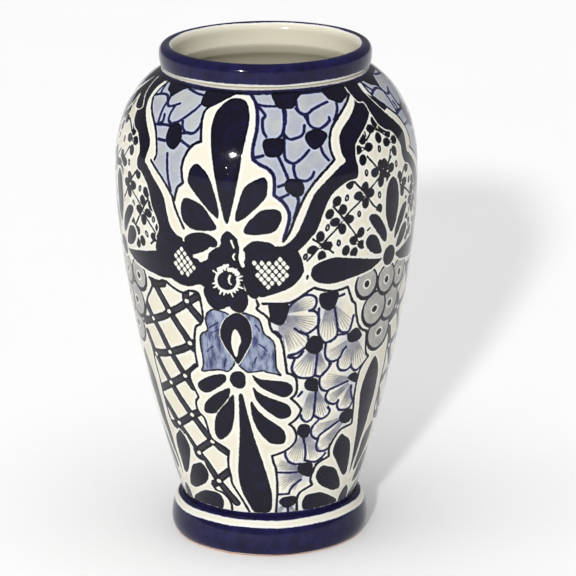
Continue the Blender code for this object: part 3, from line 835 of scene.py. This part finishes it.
def sample(layer, theta, s):
    """The layer at each angle and distance up the wall."""
    column = (np.asarray(theta) % 360) / DEG_PER_COLUMN
    row = np.clip((np.asarray(s) - ARC_LOW) * CANVAS_ROWS_PER_MM, 0, ROWS - 1.001)
    c0, r0 = np.floor(column).astype(int), np.floor(row).astype(int)
    fc, fr = column - c0, row - r0
    c0, c1 = c0 % CANVAS_COLUMNS, (c0 + 1) % CANVAS_COLUMNS
    grid = canvas[layer]
    low = grid[r0, c0] * (1 - fc) + grid[r0, c1] * fc
    high = grid[r0 + 1, c0] * (1 - fc) + grid[r0 + 1, c1] * fc
    return low * (1 - fr) + high * fr


# ------------------------------------------------------------------ meshes
def wobble(theta, s):
    """The hand's wander in mm, along the girth and up the wall."""
    a, b = np.radians(theta), s / 60
    along = 0.35 * np.sin(3 * a + 2.1 * b) + 0.25 * np.sin(7 * a - 3.7 * b + 1)
    up = 0.3 * np.sin(4 * a - 1.7 * b + 2) + 0.2 * np.sin(9 * a + 4.1 * b)
    return along, up


def throwing(theta, z):
    """Low waves left by the wheel, in mm."""
    a = np.radians(theta)
    rings = 0.10 * np.sin(z / 2.9 + 0.6 * np.sin(a)) + 0.08 * np.sin(z / 6.3 + 1.3)
    return rings * 0.8 + 0.12 * np.sin(2 * a + z / 70) + 0.07 * np.sin(3 * a - z / 40)


def arc_length(points):
    """The distance along a profile at each of its points."""
    return np.concatenate([[0], np.cumsum(np.hypot(*np.diff(points, axis=0).T))])


def lifted(profile, painted_rows, values, eased):
    """How far the painted rows stand off the profile, by row and column.

    They lift with the waves of the wheel, sink a little under dark paint and stay inside the clay.
    """
    outside = slice(*painted_rows)
    tangent = np.gradient(profile, axis=0)
    tangent[outside] = np.gradient(profile[outside], axis=0)
    normal = np.stack([-tangent[:, 1], tangent[:, 0]], 1)
    normal /= np.maximum(np.linalg.norm(normal, axis=1), 1e-9)[:, None]
    dark = np.minimum(np.minimum(values["ink"], values["navy"]), values["cobalt"])
    theta = np.arange(COLUMNS) * 360 / COLUMNS
    lift = throwing(theta, profile[outside, 1:]) - PAINT_DEPTH * np.clip(0.5 - dark, 0, 1) - SKIN_DEPTH
    if eased:
        edge = np.minimum(np.arange(len(lift)), np.arange(len(lift))[::-1])
        lift *= np.minimum(edge / 4, 1)[:, None]
    return normal[outside, None] * lift[..., None]


def skin_faces(ids, pole):
    """The quads between rows of vertex ids, the triangles at the poles, and the rows that have quads."""
    rows = len(ids)
    quads, tris, quad_rows = [], [np.zeros((0, 3), int)], []
    for i in range(rows - 1 if pole[0] and pole[-1] else rows):
        here, there = ids[i], ids[(i + 1) % rows]
        faces = np.stack([here, there, np.roll(there, -1), np.roll(here, -1)], 1)
        if pole[i]:
            tris.append(faces[:, :3])
        elif pole[(i + 1) % rows]:
            tris.append(faces[:, [0, 1, 3]])
        else:
            quads.append(faces)
            quad_rows.append(i)
    return np.concatenate(quads), np.concatenate(tris), quad_rows


def skin_map(profile, painted_rows, quad_rows, inner_share):
    """The quads' corners on the map: the painted rows in four strips, the others in a band below them."""
    lo, hi = painted_rows
    column, quarter = np.arange(COLUMNS), COLUMNS // 4
    strip, tall = column // quarter, (1 - inner_share) / 2
    arc = arc_length(profile)
    up = (arc - arc[lo]) / (arc[hi - 1] - arc[lo])
    plain_rows = [i for i in quad_rows if not lo <= i < hi - 1]
    step = inner_share / len(plain_rows)
    corners = []
    for i in quad_rows:
        if lo <= i < hi - 1:
            wide = (0.5 - 2 * MAP_GAP) / quarter
            left = column % quarter * wide + MAP_GAP + 0.5 * (strip % 2)
            foot = inner_share + tall * (strip // 2) + MAP_GAP
            low, high = (foot + (tall - 2 * MAP_GAP) * up[k] for k in (i, i + 1))
        else:
            left, wide = column / COLUMNS, 1 / COLUMNS
            low = np.full(COLUMNS, plain_rows.index(i) * step)
            high = low + 0.98 * step
        corners.append(np.stack([left, low, left, high, left + wide, high, left + wide, low], 1))
    return np.concatenate(corners).reshape(-1)


def skin_mesh(name, coords, quads, tris, corners):
    """A smooth mesh with its map. The triangles at the poles take no room on it."""
    mesh = bpy.data.meshes.new(name)
    loops = np.concatenate([quads.reshape(-1), tris.reshape(-1)]).astype(np.int32)
    starts = np.concatenate([np.arange(len(quads)) * 4, len(quads) * 4 + np.arange(len(tris)) * 3])
    mesh.vertices.add(len(coords))
    mesh.vertices.foreach_set("co", (coords * MM).astype(np.float32).reshape(-1))
    mesh.loops.add(len(loops))
    mesh.loops.foreach_set("vertex_index", loops)
    mesh.polygons.add(len(starts))
    mesh.polygons.foreach_set("loop_start", starts.astype(np.int32))
    mesh.update(calc_edges=True)
    mesh.polygons.foreach_set("use_smooth", np.ones(len(starts), bool))
    uv = np.zeros(len(loops) * 2, np.float32)
    uv[:len(corners)] = corners
    mesh.uv_layers.new(name="OFBake").data.foreach_set("uv", uv)
    return mesh


def turned_skin(name, profile, nodes, sharp, painted_rows, values, inner_share=0.1, bare=0.0,
                ringed=(0, 0), eased=False):
    """A closed skin turned about Z that stands for one clay solid.

    profile is rows of (radius, height) in mm; a radius of 0 is a pole. painted_rows is the range of
    rows that hold values, each layer's distances. Rows in sharp get a hard edge, and rows in the range
    ringed show the thrower's rings. bare is the share of bare clay on each row. eased skins keep the
    clay's own edge where the painted rows end. inner_share is how much of the map the rows that aren't
    painted take.
    """
    profile = np.asarray(profile, float)
    rows, outside, rings = len(profile), slice(*painted_rows), slice(*ringed)
    pole = profile[:, 0] < 1e-6
    present = np.ones((rows, COLUMNS), bool)
    present[pole, 1:] = False
    start = np.concatenate([[0], np.cumsum(present.sum(1))[:-1]])
    ids = start[:, None] + np.where(pole[:, None], 0, np.arange(COLUMNS))

    a = np.radians(np.arange(COLUMNS) * 360 / COLUMNS)
    section = np.repeat(profile[:, None], COLUMNS, 1)
    section[outside] += lifted(profile, painted_rows, values, eased)
    section[rings, :, 0] += 0.12 * np.sin(profile[rings, 1:] / 2.4 + a)
    r, z = section[..., 0], section[..., 1]
    coords = np.stack([r * np.sin(a), -r * np.cos(a), z], 2)[present]
    quads, tris, quad_rows = skin_faces(ids, pole)
    corners = skin_map(profile, painted_rows, quad_rows, inner_share)
    mesh = skin_mesh(name, coords, quads, tris, corners)

    fields = {"bare": np.zeros((rows, COLUMNS), np.float32) + np.reshape(bare, (-1, 1))}
    for label in LAYERS:
        fields[label] = np.full((rows, COLUMNS), FAR, np.float32)
        fields[label][outside] = values[label]
    for label, field in fields.items():
        data = field[present].astype(np.float32)
        mesh.attributes.new(label, "FLOAT", "POINT").data.foreach_set("value", data)
    ends = np.zeros(len(mesh.edges) * 2, np.int32)
    mesh.edges.foreach_get("vertices", ends)
    row_of = np.searchsorted(start, ends.reshape(-1, 2), side="right") - 1
    hard = np.isin(row_of[:, 0], list(sharp)) & (row_of[:, 0] == row_of[:, 1])
    mesh.attributes.new("sharp_edge", "BOOLEAN", "EDGE").data.foreach_set("value", hard)
    mesh.update()
    obj = bpy.data.objects.new(name, mesh)
    bpy.context.scene.collection.objects.link(obj)
    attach(obj, "root")
    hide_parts(*nodes)
    return obj


def painted(s_rows):
    """Every layer on the painted rows, with the hand's wander."""
    theta = np.arange(COLUMNS) * 360 / COLUMNS
    grid_t, grid_s = np.meshgrid(theta, s_rows)
    along_girth, up = wobble(grid_t, grid_s)
    fade = np.clip(np.minimum(grid_s - 4, 272 - grid_s) / 10, 0, 1)
    scale = np.interp(grid_s, ARC, RADII) * math.pi / 180
    t, s = grid_t + along_girth * fade / scale, grid_s + up * fade
    return {name: sample(name, t, s).astype(np.float32) for name in LAYERS}


def outer_wall(low, high):
    """The outside between two heights: its profile from the top down, and its layers."""
    s0, s1 = np.interp([low, high], HEIGHTS, ARC)
    s = np.linspace(s0, s1, int(round((s1 - s0) / ROW_STEP)) + 1)[::-1]
    return list(zip(np.interp(s, ARC, RADII), np.interp(s, ARC, HEIGHTS))), painted(s)


def slope(z):
    """How fast the body's radius grows with height."""
    low, high = max(z - 0.05, FOOT_TOP), min(z + 0.05, NECK)
    return float((body_radius(high) - body_radius(low)) / (high - low))


def inner_radius(z):
    """Inner radius of the bowl, whose wall is measured square to its slope."""
    return float(body_radius(z) - WALL * math.hypot(1, slope(z)))


def arc_points(centre, radii, start, end, count):
    """Points on an ellipse from start to end, in degrees."""
    a = np.radians(np.linspace(start, end, count))
    return list(zip(centre[0] + radii[0] * np.cos(a), centre[1] + radii[1] * np.sin(a)))


def lower_skin():
    """The bowl: from the middle of its floor up the inside, then down the outside and under."""
    outer, values = outer_wall(FOOT_TOP, JOINT)
    fillet = FLOOR_TOP + FLOOR_FILLET
    floor = [(0, FLOOR_TOP), (12, FLOOR_TOP), (26, FLOOR_TOP)]
    corner = (inner_radius(fillet) - FLOOR_FILLET, fillet)
    floor += arc_points(corner, (FLOOR_FILLET, FLOOR_FILLET), -90, 0, 10)
    inner = [(inner_radius(z), z) for z in np.linspace(fillet, JOINT, 50)[1:]]
    base = [(WAIST_RADIUS - BASE_TAPER, BASE), (40, BASE), (20, BASE), (0, BASE)]
    lo = len(floor) + len(inner)
    hi = lo + len(outer)
    bare = np.repeat([0.0, 1.0], [hi, len(base)])
    return turned_skin(
        "lower_body_glazed", floor + inner + outer + base, ["lower_body"],
        {lo - 1, lo, hi - 1, hi}, (lo, hi), values, bare=bare, ringed=(len(floor), lo),
    )


def upper_skin():
    """The shoulder: up the inside, round into the throat, then down the outside."""
    outer, values = outer_wall(JOINT, NECK)
    inner = []
    for z in np.linspace(JOINT, NECK, 60):
        length = math.hypot(1, slope(z))
        r, h = float(body_radius(z)) - WALL / length, z + WALL * slope(z) / length
        if r > BORE and h >= JOINT - 1e-6:
            inner.append((r, h))
    inner[0] = (inner[0][0], JOINT)
    turn = inner.pop()
    start, bend, end = (np.array(point) for point in (inner[-1], turn, (BORE, turn[1] + THROAT_RISE)))
    throat = [
        tuple((1 - k) ** 2 * start + 2 * k * (1 - k) * bend + k * k * end)
        for k in np.linspace(0, 1, 7)[1:]
    ]
    lo = len(inner) + len(throat) + 1
    profile = inner + throat + [(BORE, NECK)] + outer
    return turned_skin(
        "upper_body_glazed", profile, ["upper_body"],
        {0, lo - 1, lo, len(profile) - 1}, (lo, len(profile)), values, ringed=(0, len(inner)),
    )


def edge_values(arc, bands):
    """Cobalt between each pair of distances along a profile, wavering a little round the ring."""
    theta = np.radians(np.arange(COLUMNS) * 360 / COLUMNS)[None, :]
    wave = 0.22 * np.sin(5 * theta + 1) + 0.13 * np.sin(11 * theta)
    values = {name: np.full((len(arc), COLUMNS), FAR, np.float32) for name in LAYERS}
    for low, high in bands:
        band = np.abs(arc[:, None] - (low + high) / 2 - wave) - (high - low) / 2
        values["cobalt"] = np.minimum(values["cobalt"], band.astype(np.float32))
    return values


def rim_skin():
    """The rolled lip: up the bore, over the crest, down under the roll and back along the seat."""
    half = (RIM_RADIUS - BORE) / 2
    bulge = NECK + SLIP + (TOP - NECK - SLIP) * RIM_BULGE_SHARE
    seat = BORE + half + RIM_SEAT_WIDTH / 2
    bore = [(BORE, z) for z in np.linspace(NECK, bulge, 8)[:-1]]
    crown = arc_points((BORE + half, bulge), (half, TOP - bulge), 180, 0, 44)
    tuck = arc_points((seat, bulge), (RIM_RADIUS - seat, bulge - NECK), 0, -90, 22)[1:]
    bottom = [(r, NECK) for r in np.linspace(seat, BORE, 6)[1:-1]]
    profile = bore + crown + tuck + bottom
    hi = len(profile) - len(bottom)
    arc = arc_length(profile[:hi])
    crest = arc[len(bore) + int(round((180 - LIP_PAINT_ANGLE) / 180 * (len(crown) - 1)))]
    return turned_skin(
        "rim_glazed", profile, ["rim_roll"], {0, hi - 1}, (0, hi),
        edge_values(arc, [(crest, arc[-1] - 1.6)]), 0.08, eased=True,
    )


def foot_skin():
    """The foot ring: down the outside to the tread, then under and up to the seat."""
    crown = WAIST_RADIUS + FOOT_LIP
    shoulder = arc_points((crown, FOOT_BULGE), (FOOT_RADIUS - crown, FOOT_TOP - FOOT_BULGE), 90, 0, 40)
    heel = arc_points((TREAD_OUTER, FOOT_BULGE), (FOOT_RADIUS - TREAD_OUTER, FOOT_BULGE), 0, -90, 24)[1:]
    under = [
        (TREAD_INNER, 0), (TREAD_INNER - TREAD_CHAMFER, TREAD_CHAMFER), (TREAD_INNER - 2, RECESS),
        (53, RECESS), (WAIST_RADIUS + 0.05, FOOT_TOP - 0.4),
    ]
    profile = shoulder + heel + under
    hi = len(shoulder) + len(heel)
    arc = arc_length(profile[:hi])
    heights = np.array(profile)[:hi, 1]
    white_top, white_low, glaze_end = (float(np.interp(-z, -heights, arc)) for z in FOOT_BANDS)
    bare = np.ones(len(profile))
    bare[:hi] = np.clip((arc - glaze_end) / 0.8, 0, 1)
    bare[-1] = 0.0
    return turned_skin(
        "foot_glazed", profile, ["foot_ring"], {0, hi - 1, hi, hi + 1}, (0, hi),
        edge_values(arc, [(-2.0, white_top), (white_low, glaze_end)]), 0.12, bare, eased=True,
    )


# ------------------------------------------------------------------ glaze
class Nodes:
    """Short names for building a shader."""

    def __init__(self, name):
        self.material = bpy.data.materials.new(name)
        self.material.use_nodes = True
        self.tree = self.material.node_tree
        self.shader = self.tree.nodes["Principled BSDF"]

    def put(self, kind, inputs=None, **settings):
        node = self.tree.nodes.new(kind)
        for key, value in settings.items():
            setattr(node, key, value)
        for key, value in (inputs or {}).items():
            self.feed(node.inputs[key], value)
        return node

    def feed(self, socket, value):
        if isinstance(value, bpy.types.NodeSocket):
            self.tree.links.new(value, socket)
        else:
            socket.default_value = value

    def math(self, operation, a, b):
        return self.put("ShaderNodeMath", {0: a, 1: b}, operation=operation).outputs[0]

    def plus(self, a, b):
        return self.math("ADD", a, b)

    def minus(self, a, b):
        return self.math("SUBTRACT", a, b)

    def times(self, a, b):
        return self.math("MULTIPLY", a, b)

    def noise(self, at, scale, detail=2.0, rough=0.5):
        inputs = {"Vector": at, "Scale": scale, "Detail": detail, "Roughness": rough}
        return self.put("ShaderNodeTexNoise", inputs).outputs["Fac"]

    def ramp(self, value, low, high, to_low=0.0, to_high=1.0):
        inputs = {"Value": value, "From Min": low, "From Max": high, "To Min": to_low, "To Max": to_high}
        node = self.put("ShaderNodeMapRange", inputs, interpolation_type="SMOOTHSTEP")
        return node.outputs["Result"]

    def mix(self, factor, a, b):
        node = self.put("ShaderNodeMix", data_type="RGBA")
        self.feed(node.inputs[0], factor)
        self.feed(node.inputs[6], a)
        self.feed(node.inputs[7], b)
        return node.outputs[2]

    def attribute(self, name):
        return self.put("ShaderNodeAttribute", attribute_name=name).outputs["Fac"]


CREAM = (0.69, 0.65, 0.52, 1)
WHITE = (0.76, 0.75, 0.69, 1)
INK = (0.004, 0.004, 0.008, 1)
NAVY = (0.0065, 0.0058, 0.014, 1)
NAVY_THIN = (0.010, 0.0085, 0.036, 1)
COBALT = (0.0130, 0.0115, 0.062, 1)
COBALT_DEEP = (0.0065, 0.006, 0.028, 1)
WASH = (0.315, 0.335, 0.40, 1)
WASH_GREY = (0.385, 0.40, 0.395, 1)
MIST = (0.045, 0.055, 0.135, 1)
MIST_PALE = (0.30, 0.345, 0.45, 1)
STREAK = (0.14, 0.145, 0.19, 1)
TINT = (0.35, 0.40, 0.54, 1)
SMOKE = (0.018, 0.017, 0.026, 1)
SHADE = (0.22, 0.22, 0.23, 1)
CLAY = (0.50, 0.24, 0.12, 1)
CLAY_PALE = (0.62, 0.36, 0.20, 1)


WASH_BLUE = (0.47, 0.52, 0.72, 1)
SMOKE_THIN = (0.035, 0.033, 0.045, 1)
BLEED = (0.16, 0.16, 0.50, 1)
IRON = (0.16, 0.10, 0.06, 1)
CRISP = ("wash", "mist", "smoke", "cobalt", "navy", "ink")  # the layers that end in a clear edge


def tin_glaze():
    """The glaze of all four pieces: tin white, the layers of paint in it, and bare clay at the tread."""
    n = Nodes("talavera_glaze")
    at = n.put("ShaderNodeTexCoord").outputs["Object"]
    load = n.noise(at, 130, 4, 0.6)  # how much pigment the brush left
    broad = n.noise(at, 26, 3, 0.55)  # how thick the glaze lies
    # noise makes every edge of the paint waver
    coarse, fine = (n.minus(n.noise(at, *grain), 0.5) for grain in ((420, 2), (1500, 1)))
    wander = n.plus(n.times(coarse, 0.75), n.times(fine, 0.35))
    little = n.times(wander, 0.3)
    d = {name: n.plus(n.attribute(name), little if name == "streak" else wander) for name in LAYERS}
    mask = {name: n.ramp(d[name], 0.22, -0.22) for name in CRISP}
    dark = n.math("MINIMUM", n.math("MINIMUM", d["ink"], d["navy"]), d["cobalt"])
    # the bare glaze: whiter beside the paint, warmer where it pools
    halo = n.ramp(dark, 0.4, 2.6)
    colour = n.mix(n.times(halo, n.ramp(broad, 0.25, 0.6, 0.7, 1.0)), WHITE, CREAM)
    # the pale layers: the wash, bluer near dark lines, the mist drawn out up the wall, and the thin shades
    wash = n.mix(n.ramp(load, 0.35, 0.65), WASH, WASH_GREY)
    wash = n.mix(n.ramp(dark, 1.9, 0.3, 0.0, 0.55), wash, WASH_BLUE)
    colour = n.mix(n.times(mask["wash"], 0.92), colour, wash)
    drawn = n.put("ShaderNodeMapping", {"Vector": at, "Scale": (1.0, 1.0, 0.3)}).outputs["Vector"]
    cloud = n.ramp(n.noise(drawn, 260, 4, 0.6), 0.36, 0.64)
    colour = n.mix(mask["mist"], colour, n.mix(cloud, MIST, MIST_PALE))
    soft_shade = n.ramp(d["shade"], 0.5, -0.6)
    colour = n.mix(n.times(soft_shade, n.ramp(load, 0.2, 0.7, 0.5, 0.8)), colour, SHADE)
    soft_tint = n.ramp(d["tint"], 5.0, -4.0, 0.0, 0.52)
    colour = n.mix(n.times(soft_tint, n.ramp(load, 0.3, 0.7, 0.75, 1.0)), colour, TINT)
    soft_streak = n.ramp(d["streak"], 0.3, -0.25)
    colour = n.mix(n.times(soft_streak, n.ramp(load, 0.3, 0.7, 0.6, 0.95)), colour, STREAK)
    smoke = n.mix(n.ramp(load, 0.3, 0.7), SMOKE, SMOKE_THIN)
    colour = n.mix(mask["smoke"], colour, smoke)
    # cobalt sinks into the glaze: a thin bleeding edge, then an uneven body
    colour = n.mix(n.ramp(d["cobalt"], 0.8, -0.1, 0.0, 0.28), colour, BLEED)
    cobalt = n.mix(n.ramp(load, 0.32, 0.72), COBALT_DEEP, COBALT)
    colour = n.mix(mask["cobalt"], colour, cobalt)
    # the filled shapes are darkest in their middles
    navy = n.mix(n.ramp(load, 0.45, 0.8), NAVY, NAVY_THIN)
    navy = n.mix(n.ramp(d["navy"], -1.7, -0.9), navy, INK)
    colour = n.mix(mask["navy"], colour, navy)
    ink = n.mix(n.ramp(load, 0.45, 0.8, 0.0, 0.7), INK, NAVY_THIN)
    colour = n.mix(mask["ink"], colour, ink)
    # iron specks in the glaze
    speck = n.put("ShaderNodeTexVoronoi", {"Vector": at, "Scale": 95.0, "Randomness": 1.0})
    few = n.ramp(n.noise(at, 33, 1), 0.62, 0.68)
    spot = n.times(n.ramp(speck.outputs["Distance"], 0.055, 0.03), few)
    colour = n.mix(n.times(spot, 0.6), colour, IRON)
    # unglazed clay at the tread
    bare = n.ramp(n.plus(n.attribute("bare"), n.times(n.minus(load, 0.5), 0.7)), 0.4, 0.6)
    clay = n.mix(n.noise(at, 300, 5, 0.7), CLAY, CLAY_PALE)
    n.feed(n.shader.inputs["Base Color"], n.mix(bare, colour, clay))
    gloss = n.ramp(broad, 0.3, 0.7, 0.05, 0.11)
    gloss = n.plus(gloss, n.times(n.ramp(n.noise(at, 900, 2), 0.5, 0.8), 0.05))
    n.feed(n.shader.inputs["Roughness"], n.math("MAXIMUM", gloss, n.times(bare, 0.85)))
    n.shader.inputs["IOR"].default_value = 1.5
    n.shader.inputs["Specular IOR Level"].default_value = 0.22
    # orange peel and pits in the glaze, and grit on the clay
    pits = n.put("ShaderNodeTexVoronoi", {"Vector": at, "Scale": 210.0})
    pit = n.ramp(pits.outputs["Distance"], 0.12, 0.05)
    skin = n.minus(n.times(n.noise(at, 240, 3), 0.5), n.times(pit, 0.35))
    skin = n.plus(skin, n.times(n.times(n.noise(at, 700, 4, 0.7), bare), 2.0))
    bump = n.put("ShaderNodeBump", {"Height": skin, "Strength": 0.12, "Distance": 0.0006})
    n.feed(n.shader.inputs["Normal"], bump.outputs["Normal"])
    return n.material


# ------------------------------------------------------------------ studio
VASE_MIDDLE = Vector((0, 0, 0.16))
LIGHT_DISTANCE = 3.0
WORLD_STRENGTH = 0.24
LIGHTS = [  # name, kind, power, size in degrees or metres, azimuth, elevation, what it is hidden from
    ("key", "SUN", 2.1, 3.5, -12, 21, "glossy"),
    ("top", "SUN", 1.75, 70.0, -20, 82, "glossy"),
    ("side", "AREA", 5, 0.9, -75, 20, "glossy"),
    ("glint", "AREA", 190, 0.12, -26, 19, "diffuse"),
]


def light(name, kind, power, size, azimuth, elevation, hidden_from):
    """A light on a sphere round the vase, facing it."""
    data = bpy.data.lights.new(name, kind)
    data.energy = power
    if kind == "SUN":
        data.angle = math.radians(size)
    else:
        data.shape = "DISK"
        data.size = size
    obj = bpy.data.objects.new(name, data)
    bpy.context.scene.collection.objects.link(obj)
    a, e = math.radians(azimuth), math.radians(elevation)
    out = Vector((math.sin(a) * math.cos(e), -math.cos(a) * math.cos(e), math.sin(e)))
    obj.location = VASE_MIDDLE + out * LIGHT_DISTANCE
    obj.rotation_euler = out.to_track_quat("Z", "Y").to_euler()
    setattr(obj, "visible_" + hidden_from, False)


def studio():
    """White paper under a pale sky, and the lights."""
    bpy.ops.mesh.primitive_plane_add(size=40, location=(0, 12, 0))
    floor = bpy.context.object
    floor.name = "floor"
    n = Nodes("paper")
    at = n.put("ShaderNodeTexCoord").outputs["Object"]
    tone = n.mix(n.noise(at, 6, 3), (0.93, 0.93, 0.93, 1), (0.95, 0.95, 0.95, 1))
    n.feed(n.shader.inputs["Base Color"], tone)
    n.shader.inputs["Roughness"].default_value = 0.9
    n.shader.inputs["Specular IOR Level"].default_value = 0.2
    bump = n.put("ShaderNodeBump", {"Height": n.noise(at, 900, 2), "Strength": 0.05, "Distance": 0.001})
    n.feed(n.shader.inputs["Normal"], bump.outputs["Normal"])
    floor.data.materials.append(n.material)
    world = bpy.data.worlds.new("studio")
    bpy.context.scene.world = world
    world.use_nodes = True
    world.node_tree.nodes["Background"].inputs["Color"].default_value = (1, 1, 1, 1)
    world.node_tree.nodes["Background"].inputs["Strength"].default_value = WORLD_STRENGTH
    for row in LIGHTS:
        light(*row)
    bpy.context.scene.view_settings.view_transform = "Standard"


CAMERA_AT = (0.0, -1.8954, 0.7236)
CAMERA_DOWN, CAMERA_RIGHT, CAMERA_ROLL = 16.79, 0.373, -0.411
CAMERA_LENS = 203.8


def camera():
    """The photograph's view, fitted to the ellipses of the lip and the foot."""
    down, right, roll = (math.radians(x) for x in (CAMERA_DOWN, CAMERA_RIGHT, CAMERA_ROLL))
    ahead = Vector((math.sin(right) * math.cos(down), math.cos(right) * math.cos(down), -math.sin(down)))
    side = Vector((math.cos(right), -math.sin(right), 0))
    up = side.cross(ahead)
    side, up = math.cos(roll) * side + math.sin(roll) * up, -math.sin(roll) * side + math.cos(roll) * up
    data = bpy.data.cameras.new("camera")
    data.lens = CAMERA_LENS
    data.sensor_width = 36
    obj = bpy.data.objects.new("camera", data)
    bpy.context.scene.collection.objects.link(obj)
    turn = Matrix((side, up, -ahead)).transposed().to_4x4()
    obj.matrix_world = Matrix.Translation(Vector(CAMERA_AT)) @ turn
    bpy.context.scene.camera = obj


paint_wall()
glaze = tin_glaze()
for piece in (lower_skin(), upper_skin(), rim_skin(), foot_skin()):
    piece.data.materials.append(glaze)
studio()
camera()
